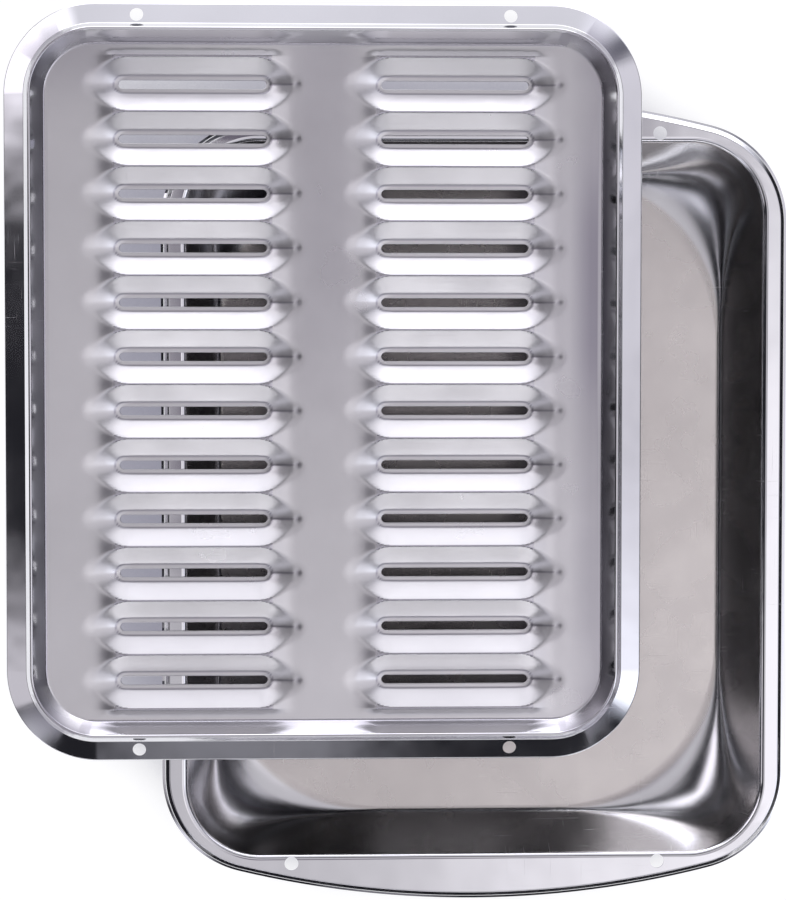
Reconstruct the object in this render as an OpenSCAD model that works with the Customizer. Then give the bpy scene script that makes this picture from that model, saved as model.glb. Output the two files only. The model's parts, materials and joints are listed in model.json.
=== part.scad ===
// Two-piece broiler pan: a deep-drawn drip pan and the slotted grill insert that lies on it.
// Millimetres. X is the width, Y the length, Z up. The origin is the middle of the pan's underside.
// Each piece is one pressed sheet. It is built as a closed skin of rings, which run from the floor
// out over the rim and back underneath, and its rim holes are then punched with true cylinders.

/* [Sheet] */
// Thickness of the steel sheet of both pieces
sheet = 0.8; // [0.5:0.1:1.2]

/* [Pan] */
// Overall width across the side flanges
pan_width = 324; // [290:1:360]
// Overall length across the two end flanges
pan_length = 417; // [370:1:460]
// Height from the underside to the top of the rim
pan_depth = 42; // [30:1:55]
// Width of each side flange, from the opening to the outer edge
side_flange = 12.6; // [11:0.1:18]
// Width of each end flange at its middle, where it serves as the handle
end_flange = 23.6; // [20:0.1:36]
// Corner radius of the opening
opening_corner = 38; // [30:1:50]
// Lean of the walls from upright, in degrees
wall_lean = 21; // [10:1:28]
// Radius of the bend between the walls and the flange
lip_bend = 3.5; // [2:0.1:5]
// Radius of the bend between the floor and the walls along the sides
foot_bend = 4; // [2:0.5:8]
// Radius of the same bend on the diagonals of the corners, where it is drawn out
corner_bend = 45; // [16:1:50]

/* [Pan edge] */
// Radius of the bowed end of the flange
bow_radius = 507; // [380:1:900]
// Outer corner radius of the flange
flange_corner = 52; // [40:1:60]
// Drop of the edge below the rim
edge_drop = 5; // [4:0.1:8]
// Radius of the bend at the top of the edge
edge_bend = 2; // [1.3:0.1:3]
// Lean of the edge from upright, in degrees
edge_lean = 25; // [5:1:40]
// Width of the hem that stands out from the foot of the edge
hem_width = 1.6; // [0.8:0.1:3]
// Slope of the hem below level, in degrees
hem_slope = 20; // [5:1:40]

/* [Insert] */
// Overall width of the grill insert
insert_width = 327; // [295:1:360]
// Overall length of the grill insert
insert_length = 388; // [350:1:430]
// Outer corner radius of the insert
insert_corner = 47; // [40:1:60]
// Run of the sloping flange, from the outer edge to the foot of the bead
insert_flange = 10; // [8:0.1:12]
// Rise of the sloping flange over that run
flange_rise = 4.4; // [2:0.1:6]
// Drop of the insert's turned-down outer edge
insert_lip = 2.6; // [1.5:0.1:4]
// Run of the slope that climbs from the flange to the top of the bead
bead_slope = 3; // [2:0.1:5]
// Width of the flat top of the bead
bead_top = 1.6; // [1:0.1:3]
// Height of the bead above the floor of the insert
bead_height = 8.5; // [7:0.1:14]
// Run of the wall from the bead down to the floor
insert_wall = 6; // [4:0.1:9]
// Radius of the bends of the bead
bead_bend = 1.2; // [0.9:0.1:1.6]
// Radius of the bend between that wall and the floor
tray_bend = 2; // [1:0.1:3]

/* [Slots] */
// Length of each drain slot
slot_length = 76; // [60:1:84]
// Width of each drain slot
slot_width = 4.8; // [4.2:0.1:6]
// Width of the flat land left round each slot
slot_land = 2.1; // [1.5:0.1:3]
// Distance from one slot to the next in a column
slot_pitch = 27.8; // [22:0.1:36]
// Depth of the pockets that carry the slots
pocket_depth = 4.5; // [2:0.1:6]
// Distance from the end of the land to the tip of its pocket
pocket_tip = 14.9; // [8:0.1:17]
// Half width of that tip, which is blunt
tip_width = 4.6; // [2:0.1:6]
// Distance from the tip back to its two corners
tip_round = 2.2; // [1:0.1:4]
// How far the crests between the pockets reach past the slots' ends
crest_over = 1; // [0:0.1:3]
// Rise of those crests above the floor
crest_rise = 1.1; // [0.2:0.1:2]
// Flat floor kept at the two ends of the columns
row_margin = 4; // [1:0.1:15]
// How far each column is set in from the middle of its half of the floor
column_inset = 3.25; // [0:0.25:6]

/* [Holes] */
// Distance across each pair of rim holes
hole_span = 190.5; // [150:0.5:200]
// Radius of the pan's rim holes
pan_hole_r = 3.6; // [2.5:0.1:4.5]
// Distance from the end of the pan to its holes
pan_hole_inset = 19.5; // [17:0.1:20]
// Radius of the insert's rim holes
insert_hole_r = 3.4; // [2.5:0.1:3.8]
// Distance from the end of the insert to its holes
insert_hole_inset = 6.35; // [5.5:0.05:7]

/* [Arrangement] */
// How far the insert stands out past the pan's left side
overhang_left = 79.5; // [60:0.5:100]
// How far the insert stands out past the pan's far end
overhang_far = 45.5; // [30:0.5:60]
// Air between the pockets' undersides and the rim that they lie on
seat_gap = 0.2; // [0.1:0.1:0.5]

/* [Hidden] */

// Steps of the arcs: in a corner seen from above, along half of an end of the pan and of the insert, in
// a bend of the sheet, in the tight and the wide bend at the foot, and in a quarter of a land's ends
corner_steps = 10;
bow_steps = 5;
flat_steps = 1;
bend_steps = 3;
foot_steps = 3;
wide_steps = 5;
land_steps = 3;
// Overcut of the punches past the faces that they cut
over = 1;

// Opening of the pan where the planes of wall and rim would meet
opening_x = pan_width / 2 - side_flange;
opening_y = pan_length / 2 - end_flange;
// Distance that the walls lean in from there to the floor
wall_run = (pan_depth - sheet) * tan(wall_lean);
foot_x = opening_x - wall_run;
foot_y = opening_y - wall_run;

// Middle of the insert, and the level of its floor's upper face
insert_x = -pan_width / 2 - overhang_left + insert_width / 2;
insert_y = pan_length / 2 + overhang_far - insert_length / 2;
insert_z = pan_depth + seat_gap + sheet + pocket_depth;

// Half size of the flat floor of the insert, inside the bend of its wall
rim_run = insert_flange + bead_slope + bead_top + insert_wall;
tray_margin = 2;
tray_x = insert_width / 2 - rim_run - tray_margin;
tray_y = insert_length / 2 - rim_run - tray_margin;

// Land round a slot, and the crest, the tip and the tip's corners of its pocket, as half sizes
land_r = slot_width / 2 + slot_land;
land_x = slot_length / 2 + slot_land;
crest_x = slot_length / 2 + crest_over;
tip_x = land_x + pocket_tip;
shoulder_x = tip_x - tip_round;
slot_rows = floor((2 * tray_y - 2 * row_margin) / slot_pitch);
column_x = tray_x / 2 - column_inset;

function unit(v) = v / norm(v);
function left_of(v) = [-v[1], v[0]];
function way_in(path, i) = unit(i == 0 ? path[1] - path[0] : path[i] - path[i - 1]);
function way_out(path, i) = i == len(path) - 1 ? way_in(path, i) : unit(path[i + 1] - path[i]);

// The same path moved sideways by the thickness t, to the left where t is positive
function beside(path, t) = [
    for (i = [0 : len(path) - 1])
        let (m = left_of(way_in(path, i)) + left_of(way_out(path, i)))
            path[i] + m * 2 * t / (m * m)
];

// The bend radii of that second path: one is smaller by t and the other larger
function radii_beside(path, radii, t) = [
    for (i = [0 : len(path) - 1])
        radii[i] - sign(cross(way_in(path, i), way_out(path, i))) * t
];

// Arc of radius r in the corner at c, between the points before and after it
function arc_at(before, c, after, r) =
    let (
        a = unit(before - c),
        b = unit(after - c),
        half = acos(a * b) / 2,
        mid = c + unit(a + b) * r / sin(half),
        u = unit(c + a * r / tan(half) - mid),
        v = unit(c + b * r / tan(half) - mid),
        turn = 180 - 2 * half
    ) [
        for (k = [0 : bend_steps])
            mid + r * (u * sin(turn * (1 - k / bend_steps)) + v * sin(turn * k / bend_steps)) / sin(turn)
    ];

// A path of straight runs, bent to the given radii at its inner corners
function bent(path, radii) = [
    path[0],
    for (i = [1 : len(path) - 2]) each arc_at(path[i - 1], path[i], path[i + 1], radii[i]),
    path[len(path) - 1]
];

function reversed(list) = [for (i = [len(list) - 1 : -1 : 0]) list[i]];

// One quarter of a rounded rectangle, from the middle of its far end round to its right side
function quarter(hx, hy, r, z, end_steps) = concat(
    [for (j = [0 : end_steps]) [(hx - r) * j / end_steps, hy, z]],
    [
        for (i = [1 : corner_steps])
            let (a = 90 * i / corner_steps)
                [hx - r + r * sin(a), hy - r + r * cos(a), z]
    ]
);

// One quarter of the pan's outline with its bowed end, drawn in by d
bow_y = pan_length / 2 - bow_radius;
corner_x = pan_width / 2 - flange_corner;
corner_y = bow_y + sqrt(pow(bow_radius - flange_corner, 2) - corner_x * corner_x);
bow_angle = atan2(corner_x, corner_y - bow_y);
function bowed_quarter(d, z) = concat(
    [
        for (j = [0 : bow_steps])
            let (a = bow_angle * j / bow_steps)
                [(bow_radius - d) * sin(a), bow_y + (bow_radius - d) * cos(a), z]
    ],
    [
        for (i = [1 : corner_steps])
            let (a = bow_angle + (90 - bow_angle) * i / corner_steps)
                [corner_x + (flange_corner - d) * sin(a), corner_y + (flange_corner - d) * cos(a), z]
    ]
);

// The whole ring from one quarter, clockwise from the middle of the far end
function full_ring(q) = let (n = len(q) - 1) concat(
    q,
    [for (i = [n : -1 : 0]) [q[i][0], -q[i][1], q[i][2]]],
    [for (i = [1 : n]) [-q[i][0], -q[i][1], q[i][2]]],
    [for (i = [n : -1 : 1]) [-q[i][0], q[i][1], q[i][2]]]
);
function points_round(end_steps) = 4 * (end_steps + corner_steps) + 2;

// Triangles of the skin between each ring of n points and the next
function skin(rings, n) = [
    for (r = [0 : rings - 2], i = [0 : n - 1])
        let (
            j = (i + 1) % n,
            a = r * n,
            b = a + n
        )
            each [[b + i, b + j, a + j], [b + i, a + j, a + i]]
];

// Angle of the bend at the foot, and its radius on a corner's diagonal, kept below the lip
foot_turn = 90 - wall_lean;
corner_r = min(corner_bend, 0.95 * (pan_depth - sheet - 2 * lip_bend) / (1 - cos(foot_turn)));

// How far a wall with a bend of radius r stands out from its foot at height h. Below the end of the
// bend that is less than the straight wall would have, and it is negative inside the foot.
function bend_reach(h, r) = h >= r * (1 - cos(foot_turn))
    ? h * tan(wall_lean)
    : sqrt(max(0, r * r - (r - h) * (r - h))) - r * tan(foot_turn / 2);

// Heights of the rings up the wall: through the tight bend of the sides and then the wide bend of
// the corners, each of them wider by t on the lower side of the sheet
function wall_levels(t) =
    let (tight_top = (foot_bend + t) * (1 - cos(foot_turn)))
        concat(
            [for (k = [0 : foot_steps]) (foot_bend + t) * (1 - cos(foot_turn * k / foot_steps))],
            [
                for (k = [1 : wide_steps])
                    let (h = (corner_r + t) * (1 - cos(foot_turn * k / wide_steps)))
                        if (h > tight_top + sheet) h
            ]
        );

// Quarters of the rings up the wall. On a side the ring follows the tight bend and on a diagonal the
// wide one, and the corner radius that joins the two shrinks with the height. The floor is at z and
// the wall is moved out by side.
function wall_quarters(z, side, t) = [
    for (h = wall_levels(t))
        let (
            reach = bend_reach(h, foot_bend + t),
            wide = bend_reach(h, corner_r + t),
            corner = opening_corner - wall_run + (sqrt(2) * reach - wide) / (sqrt(2) - 1)
        )
            quarter(foot_x + side + reach, foot_y + side + reach, corner + side, z + h, bow_steps)
];

// Section of the lip: up the wall and over on to the flange, as distance out from the opening
lip_path = [
    [-lip_bend, pan_depth - lip_bend / tan(wall_lean)],
    [0, pan_depth],
    [lip_bend, pan_depth]
];
lip_radii = [0, lip_bend, 0];
function lip_quarters(path, radii) = [
    for (p = arc_at(path[0], path[1], path[2], radii[1]))
        quarter(opening_x + p[0], opening_y + p[0], opening_corner + p[0], p[1], bow_steps)
];

// Section of the outer edge: over the bend, down the edge and out along the hem, as distance in
// from the outline
hem_run = hem_width * cos(hem_slope);
hem_fall = hem_width * sin(hem_slope);
edge_run = (edge_drop - hem_fall) * tan(edge_lean);
hem_bend = 0.6;
edge_path = [
    [hem_run + edge_run + edge_bend, pan_depth],
    [hem_run + edge_run, pan_depth],
    [hem_run, pan_depth - edge_drop + hem_fall],
    [0, pan_depth - edge_drop]
];
edge_radii = [0, edge_bend, hem_bend, 0];
function edge_quarters(path) = [for (p = path) bowed_quarter(p[0], p[1])];

module pan() {
    over_edge = bent(edge_path, edge_radii);
    under_edge = bent(beside(edge_path, sheet), radii_beside(edge_path, edge_radii, sheet));
    upper = concat(
        wall_quarters(sheet, 0, 0),
        lip_quarters(lip_path, lip_radii),
        edge_quarters(over_edge)
    );
    under_lip = beside(lip_path, -sheet);
    lower = concat(
        wall_quarters(0, sheet * (1 - sin(wall_lean)) / cos(wall_lean), sheet),
        lip_quarters(under_lip, radii_beside(lip_path, lip_radii, -sheet)),
        edge_quarters(under_edge)
    );
    quarters = concat(upper, reversed(lower));
    rings = len(quarters);
    n = points_round(bow_steps);
    middle = rings * n;
    floor_faces = [for (i = [0 : n - 1]) [middle, i, (i + 1) % n]];
    base_faces = [for (i = [0 : n - 1]) [middle + 1, middle - n + (i + 1) % n, middle - n + i]];
    color("silver")
    difference() {
        polyhedron(
            points = concat([for (q = quarters) each full_ring(q)], [[0, 0, sheet], [0, 0, 0]]),
            faces = concat(floor_faces, skin(rings, n), base_faces),
            convexity = 6
        );
        for (sx = [-1, 1], sy = [-1, 1])
            translate([sx * hole_span / 2, sy * (pan_length / 2 - pan_hole_inset), pan_depth - edge_drop])
                cylinder(r = pan_hole_r, h = edge_drop + over, $fn = 48);
    }
}

// Section of the insert's rim as distance in from its outline, with its floor at level 0: up the
// turned-down edge, along the flange, up to the bead, over it and down to the floor
rim_foot = 0.4;
rim_path = [
    [0, -insert_lip],
    [rim_foot, 0],
    [insert_flange, flange_rise],
    [insert_flange + bead_slope, bead_height],
    [insert_flange + bead_slope + bead_top, bead_height],
    [rim_run, 0],
    [rim_run + tray_margin, 0]
];
rim_radii = [0, bead_bend, bead_bend, bead_bend, bead_bend, tray_bend, 0];
function rim_quarters(path) = [
    for (p = path)
        let (x = insert_width / 2 - p[0], y = insert_length / 2 - p[0])
            quarter(x, y, insert_corner - p[0], p[1], flat_steps)
];

// Corners of the pockets in one column: the ends of its crests, the tips, the two corners of each tip
// and the feet, just inside those, where the crests between two pockets have sloped down to the
// floor. The outermost crests lie in the floor itself.
foot_inset = 0.5;
function crest_points(x, z) = [
    for (j = [0 : slot_rows], s = [-1, 1])
        let (rise = j == 0 || j == slot_rows ? 0 : crest_rise)
            [x + s * crest_x, (slot_rows / 2 - j) * slot_pitch, z + rise]
];
function tip_points(x, z) = [
    for (j = [0 : slot_rows - 1], s = [-1, 1])
        [x + s * tip_x, slot_y(j), z]
];
function shoulder_points(x, z) = [
    for (j = [0 : slot_rows - 1], t = [1, -1], s = [-1, 1])
        [x + s * shoulder_x, slot_y(j) + t * tip_width, z]
];
function foot_points(x, z) = [
    for (j = [1 : 1 : slot_rows - 1], s = [-1, 1])
        [x + s * (shoulder_x - foot_inset), (slot_rows / 2 - j) * slot_pitch, z]
];
function slot_y(j) = (slot_rows / 2 - j - 0.5) * slot_pitch;

// Round-ended outlines of half width r at the bottom of the pockets, clockwise from the upper
// corner of the right end: the slots themselves, and the flat lands round them
land_count = 4 * land_steps + 2;
function outline_points(x, r, z) = [
    for (j = [0 : slot_rows - 1], s = [1, -1], k = [0 : 2 * land_steps])
        let (a = 90 * (1 - s) + 90 - 90 * k / land_steps)
            [x + s * (slot_length - slot_width) / 2 + r * cos(a), slot_y(j) + r * sin(a), z]
];

// Places of those points in the list, counted from the first point of their column
tip_start = 2 * (slot_rows + 1);
shoulder_start = tip_start + 2 * slot_rows;
foot_start = shoulder_start + 4 * slot_rows;
land_start = foot_start + 2 * (slot_rows - 1);
slot_start = land_start + slot_rows * land_count;
column_count = slot_start + slot_rows * land_count;
function crest(base, j, right) = base + 2 * j + right;
function tip(base, j, right) = base + tip_start + 2 * j + right;
function shoulder(base, j, low, right) = base + shoulder_start + 4 * j + 2 * low + right;
function foot(base, j, right) =
    j == 0 || j == slot_rows ? crest(base, j, right) : base + foot_start + 2 * (j - 1) + right;
function land(base, j, k) = base + land_start + j * land_count + k % land_count;
function slot(base, j, k) = base + slot_start + j * land_count + k % land_count;

// Faces of a quarter of one pocket's end: between its crest c, the corner s of its tip, the tip t and
// the land round the slot, whose points are counted from m towards the tip in the direction d
function end_faces(base, j, c, s, t, m, d) =
    let (
        near = land(base, j, m + d),
        faces = concat(
            [[c, near, land(base, j, m)], [c, s, near]],
            [
                for (k = [1 : 1 : land_steps - 1])
                    [s, land(base, j, m + (k + 1) * d), land(base, j, m + k * d)]
            ],
            [[s, t, land(base, j, m + land_steps * d)]]
        )
    )
        d > 0 ? faces : [for (f = faces) reversed(f)];

// Faces of one pocket, clockwise seen from above
function pocket_faces(base, j) =
    let (n = land_steps) concat(
        [
            for (k = [0 : land_count - 1])
                [land(base, j, k), land(base, j, k + 1), slot(base, j, k + 1), slot(base, j, k)]
        ],
        [[crest(base, j, 0), crest(base, j, 1), land(base, j, 0), land(base, j, land_count - 1)]],
        [[crest(base, j + 1, 1), crest(base, j + 1, 0), land(base, j, 2 * n + 1), land(base, j, 2 * n)]],
        end_faces(base, j, crest(base, j, 1), shoulder(base, j, 0, 1), tip(base, j, 1), 0, 1),
        end_faces(base, j, crest(base, j + 1, 1), shoulder(base, j, 1, 1), tip(base, j, 1), 2 * n, -1),
        end_faces(base, j, crest(base, j + 1, 0), shoulder(base, j, 1, 0), tip(base, j, 0), 2 * n + 1, 1),
        end_faces(base, j, crest(base, j, 0), shoulder(base, j, 0, 0), tip(base, j, 0), 4 * n + 1, -1)
    );

// Slopes from the ends of the crests between two pockets down to the floor
function crest_slopes(base) = [
    for (j = [1 : 1 : slot_rows - 1])
        each [
            [crest(base, j, 1), shoulder(base, j - 1, 1, 1), foot(base, j, 1)],
            [crest(base, j, 1), foot(base, j, 1), shoulder(base, j, 0, 1)],
            [crest(base, j, 0), foot(base, j, 0), shoulder(base, j - 1, 1, 0)],
            [crest(base, j, 0), shoulder(base, j, 0, 0), foot(base, j, 0)]
        ]
];

// Flat floor between the two columns, row by row
function middle_faces(a, b) = [
    for (j = [0 : slot_rows - 1])
        each [
            [foot(a, j, 1), foot(b, j, 0), shoulder(b, j, 0, 0), shoulder(a, j, 0, 1)],
            [shoulder(a, j, 0, 1), shoulder(b, j, 0, 0), tip(b, j, 0), tip(a, j, 1)],
            [tip(a, j, 1), tip(b, j, 0), shoulder(b, j, 1, 0), shoulder(a, j, 1, 1)],
            [shoulder(a, j, 1, 1), shoulder(b, j, 1, 0), foot(b, j + 1, 0), foot(a, j + 1, 1)]
        ]
];

// Flat floor between one column and the bend of the wall round its side. The ring's points run from
// the middle of the far end to the middle of the near end, and the column's outer points are those
// on that side.
function side_faces(ring, base, outer) =
    let (
        inner = 1 - outer,
        last = len(ring) - 1,
        side = (last - 1) / 2,
        half = floor(slot_rows / 2),
        far_in = crest(base, 0, inner),
        far_out = crest(base, 0, outer),
        near_in = crest(base, slot_rows, inner),
        near_out = crest(base, slot_rows, outer)
    ) concat(
        [for (i = [0 : flat_steps - 1]) [far_in, ring[i], ring[i + 1]]],
        [[far_in, ring[flat_steps], far_out]],
        [for (i = [flat_steps : side - 1]) [far_out, ring[i], ring[i + 1]]],
        [
            [far_out, ring[side], shoulder(base, 0, 0, outer)],
            [shoulder(base, 0, 0, outer), ring[side], tip(base, 0, outer)]
        ],
        [
            for (j = [0 : 1 : slot_rows - 2])
                let (corner = ring[j < half ? side : side + 1])
                    each [
                        [tip(base, j, outer), corner, tip(base, j + 1, outer)],
                        [tip(base, j, outer), tip(base, j + 1, outer), shoulder(base, j + 1, 0, outer)],
                        [tip(base, j, outer), shoulder(base, j + 1, 0, outer), foot(base, j + 1, outer)],
                        [tip(base, j, outer), foot(base, j + 1, outer), shoulder(base, j, 1, outer)]
                    ]
        ],
        [[tip(base, half, outer), ring[side], ring[side + 1]]],
        [
            [near_out, shoulder(base, slot_rows - 1, 1, outer), ring[side + 1]],
            [shoulder(base, slot_rows - 1, 1, outer), tip(base, slot_rows - 1, outer), ring[side + 1]]
        ],
        [for (i = [side + 1 : last - flat_steps - 1]) [near_out, ring[i], ring[i + 1]]],
        [[near_out, ring[last - flat_steps], near_in]],
        [for (i = [last - flat_steps : last - 1]) [near_in, ring[i], ring[i + 1]]]
    );

// Faces of the floor inside the ring that starts at ring_base, with the two columns at a and b
function tray_faces(ring_base, a, b) =
    let (
        n = points_round(flat_steps),
        right_ring = [for (i = [0 : n / 2]) ring_base + i],
        left_ring = [for (i = [n : -1 : n / 2]) ring_base + i % n]
    ) concat(
        [for (base = [a, b], j = [0 : slot_rows - 1]) each pocket_faces(base, j)],
        [for (base = [a, b]) each crest_slopes(base)],
        middle_faces(a, b),
        side_faces(right_ring, b, 1),
        [for (f = side_faces(left_ring, a, 0)) reversed(f)],
        [
            [ring_base, crest(b, 0, 0), crest(a, 0, 1)],
            [right_ring[n / 2], crest(a, slot_rows, 1), crest(b, slot_rows, 0)]
        ]
    );

// Cut edges of the slots of one column, between its upper face at a and its lower face at b
function slot_edges(a, b) = [
    for (j = [0 : slot_rows - 1], k = [0 : land_count - 1])
        [slot(a, j, k), slot(a, j, k + 1), slot(b, j, k + 1), slot(b, j, k)]
];

module grill_insert() {
    upper = reversed(bent(rim_path, rim_radii));
    lower = bent(beside(rim_path, -sheet), radii_beside(rim_path, rim_radii, -sheet));
    quarters = concat(rim_quarters(upper), rim_quarters(lower));
    rings = len(quarters);
    relief = [
        for (z = [0, -sheet], x = [-column_x, column_x])
            each concat(
                crest_points(x, z),
                tip_points(x, z),
                shoulder_points(x, z),
                foot_points(x, z),
                outline_points(x, land_r, z - pocket_depth),
                outline_points(x, slot_width / 2, z - pocket_depth)
            )
    ];
    n = points_round(flat_steps);
    last_ring = (rings - 1) * n;
    columns = [for (c = [0 : 3]) rings * n + c * column_count];
    over_faces = tray_faces(0, columns[0], columns[1]);
    under_faces = tray_faces(last_ring, columns[2], columns[3]);
    slots = concat(slot_edges(columns[0], columns[2]), slot_edges(columns[1], columns[3]));
    color("gainsboro")
    translate([insert_x, insert_y, insert_z])
    difference() {
        polyhedron(
            points = concat([for (q = quarters) each full_ring(q)], relief),
            faces = concat(over_faces, skin(rings, n), [for (f = under_faces) reversed(f)], slots),
            convexity = 10
        );
        for (sx = [-1, 1], sy = [-1, 1])
            translate([sx * hole_span / 2, sy * (insert_length / 2 - insert_hole_inset), -over])
                cylinder(r = insert_hole_r, h = bead_height, $fn = 48);
    }
}

pan();
grill_insert();
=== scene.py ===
# %% [markdown]
# # A two-piece broiler pan in bright pressed steel
# The pan is a deep-drawn drip pan, and the grill insert is a shallow slotted tray that lies on its rim.
# Both are one sheet of steel each, with a bright plating on the rims and walls and a satin or dull floor.
# The construction is already in the frame. This script gives each piece a finer mesh of the same form,
# with rounded folds, and then its finish, because bright metal shows every facet in its reflections.

# %% Load the frame
import json
import math

import bmesh
import bpy
import numpy as np
from mathutils.geometry import delaunay_2d_cdt
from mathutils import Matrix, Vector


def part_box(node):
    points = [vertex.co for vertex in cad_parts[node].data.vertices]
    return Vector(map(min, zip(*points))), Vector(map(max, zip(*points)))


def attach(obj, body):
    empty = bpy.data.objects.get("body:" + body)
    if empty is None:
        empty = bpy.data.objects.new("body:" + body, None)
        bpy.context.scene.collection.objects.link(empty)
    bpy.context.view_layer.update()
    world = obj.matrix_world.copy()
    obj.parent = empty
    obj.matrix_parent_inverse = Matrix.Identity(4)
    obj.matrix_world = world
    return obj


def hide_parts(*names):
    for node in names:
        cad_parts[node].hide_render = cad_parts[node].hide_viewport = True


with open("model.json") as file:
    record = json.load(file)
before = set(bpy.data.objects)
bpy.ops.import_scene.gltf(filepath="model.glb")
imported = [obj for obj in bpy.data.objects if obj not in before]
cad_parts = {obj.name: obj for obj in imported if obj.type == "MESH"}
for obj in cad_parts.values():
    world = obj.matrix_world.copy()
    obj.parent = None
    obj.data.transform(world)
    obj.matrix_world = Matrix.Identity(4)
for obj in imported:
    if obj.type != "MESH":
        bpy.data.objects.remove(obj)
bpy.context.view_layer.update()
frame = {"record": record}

# %% [markdown]
# ## Sizes from the frame
# The outer sizes, the places of the two pieces and the rim holes are read from the frame, so that the
# meshes stay where the construction puts them. The smaller sizes of the pressing follow in millimetres,
# next to the step that uses them. Meshes are worked out in millimetres and turned into metres at the end.

# %% Read the sizes
MM = 0.001


def box_mm(node):
    low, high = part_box(node)
    return np.array(low) / MM, np.array(high) / MM


pan_low, pan_high = box_mm("pan")
insert_low, insert_high = box_mm("grill_insert")
pan_width, pan_length, pan_depth = pan_high - pan_low
insert_width, insert_length = (insert_high - insert_low)[:2]
insert_mid = (insert_low + insert_high) / 2
sheet = 0.8
print("pan", pan_width, pan_length, pan_depth, "insert", insert_width, insert_length)

# %% [markdown]
# ## Bends
# A pressed sheet is a section that runs round the piece: floor, wall, lip, flange and edge. The section
# is first drawn as straight runs, and then each corner becomes a bend. A bend is an arc of many small
# steps, because a mirror-like plating would show a coarse arc as stripes. The sheet's other side is the
# same section moved sideways by its thickness, where each bend is tighter or wider by that much.

# %% Helpers for sections
BEND_STEPS = 8


def unit(v):
    return v / np.linalg.norm(v)


def left_of(v):
    return np.array([-v[1], v[0]])


def ways_at(path, i):
    """Directions in which a section comes to one of its points and leaves it."""
    first, last = max(i, 1), min(i, len(path) - 2)
    return unit(path[first] - path[first - 1]), unit(path[last + 1] - path[last])


def beside(path, t):
    """The same section moved sideways by t, to its left where t is positive."""
    moved = []
    for i, point in enumerate(path):
        way_in, way_out = ways_at(path, i)
        m = left_of(way_in) + left_of(way_out)
        moved.append(point + m * 2 * t / (m @ m))
    return moved


def radii_beside(path, radii, t):
    """Bend radii of that second section: one side of a bend is tighter than the other."""
    out = []
    for i, radius in enumerate(radii):
        way_in, way_out = ways_at(path, i)
        turn = way_in[0] * way_out[1] - way_in[1] * way_out[0]
        out.append(radius - np.sign(turn) * t if radius else 0)
    return out


def arc_at(before, corner, after, radius, steps):
    """Arc of a radius that rounds a corner of a section."""
    a, b = unit(before - corner), unit(after - corner)
    half = math.acos(a @ b) / 2
    mid = corner + unit(a + b) * radius / math.sin(half)
    u = unit(corner + a * radius / math.tan(half) - mid)
    v = unit(corner + b * radius / math.tan(half) - mid)
    turn = math.pi - 2 * half
    shares = np.linspace(0, 1, steps + 1)
    return [mid + radius * (u * math.sin(turn * (1 - k)) + v * math.sin(turn * k)) / math.sin(turn)
            for k in shares]


def bent(path, radii):
    """A section of straight runs with its inner corners rounded."""
    points = [path[0]]
    for i in range(1, len(path) - 1):
        points += arc_at(path[i - 1], path[i], path[i + 1], radii[i], BEND_STEPS)
    return points + [path[-1]]


print("a right-angled bend of 1 mm starts at",
      bent([np.array([0, 0]), np.array([4, 0]), np.array([4, 4])], [0, 1, 0])[1])

# %% [markdown]
# ## Rings
# The easiest exact way to run a section round a piece is a stack of closed rings, one for each point of
# the section, with a band of quads between each ring and the next. Each ring is a rounded rectangle. Only
# its first quarter is worked out, and the other three are mirror images of it.

# %% Helpers for rings
CORNER_STEPS = 30
BOW_STEPS = 14


def quarter(half_x, half_y, radius, level):
    """A quarter of a rounded rectangle, from the middle of its far end round to its right side."""
    run = np.linspace(0, half_x - radius, BOW_STEPS + 1)
    turn = np.radians(np.linspace(0, 90, CORNER_STEPS + 1))[1:]
    x = np.concatenate([run, half_x - radius + radius * np.sin(turn)])
    y = np.concatenate([np.full(len(run), half_y), half_y - radius + radius * np.cos(turn)])
    return np.stack([x, y, np.full(len(x), level)], axis=1)


def full_ring(q):
    """The whole ring from its first quarter, clockwise seen from above."""
    back = q[::-1]
    return np.concatenate([q, back * [1, -1, 1], q[1:] * [-1, -1, 1], back[:-1] * [-1, 1, 1]])


def band_faces(rings, count):
    """Quads between each ring of a stack and the next."""
    faces = []
    for r in range(rings - 1):
        for i in range(count):
            j = (i + 1) % count
            faces.append((r * count + i, r * count + j, (r + 1) * count + j, (r + 1) * count + i))
    return faces


def make_object(name, points, faces):
    """A Blender object from points in millimetres."""
    mesh = bpy.data.meshes.new(name)
    mesh.from_pydata((np.asarray(points) * MM).tolist(), [], faces)
    mesh.validate()
    mesh.update()
    obj = bpy.data.objects.new(name, mesh)
    bpy.context.scene.collection.objects.link(obj)
    return obj


print("a ring has", len(full_ring(quarter(100, 150, 30, 0))), "points")

# %% [markdown]
# ## The pan
# The pan was drawn from a flat sheet in a press. Its walls lean out, and at the four corners the bend at
# their foot is drawn out far wider than along the sides, so the flat floor has large soft corners. The end
# flanges are bowed and wide enough to hold, and the edge is turned down and then out into a narrow hem.
# Each ring up the walls lies at one height. Along a side it follows a tight bend and then the wall. On the
# diagonal of a corner it follows a bend of more than ten times that radius, and the ring's own corner
# radius is what joins the two.

# %% Sizes of the pan's pressing
side_flange = 12.6
end_flange = 23.6
opening_corner = 38
wall_lean = math.radians(21)
lip_bend = 3.5
foot_bend = 4
corner_bend = 45
bow_radius = 507
flange_corner = 52
edge_drop = 5
edge_bend = 1.2
shoulder_run = 2.3
shoulder_slope = math.radians(38)
shoulder_bend = 0.9
skirt_run = 0.15
hem_width = 1.6
hem_slope = math.radians(20)
hem_bend = 0.6

opening_x = pan_width / 2 - side_flange
opening_y = pan_length / 2 - end_flange
wall_run = (pan_depth - sheet) * math.tan(wall_lean)
foot_x = opening_x - wall_run
foot_y = opening_y - wall_run
print("the pan's flat floor is about", round(2 * foot_x), "by", round(2 * foot_y), "mm")

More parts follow.
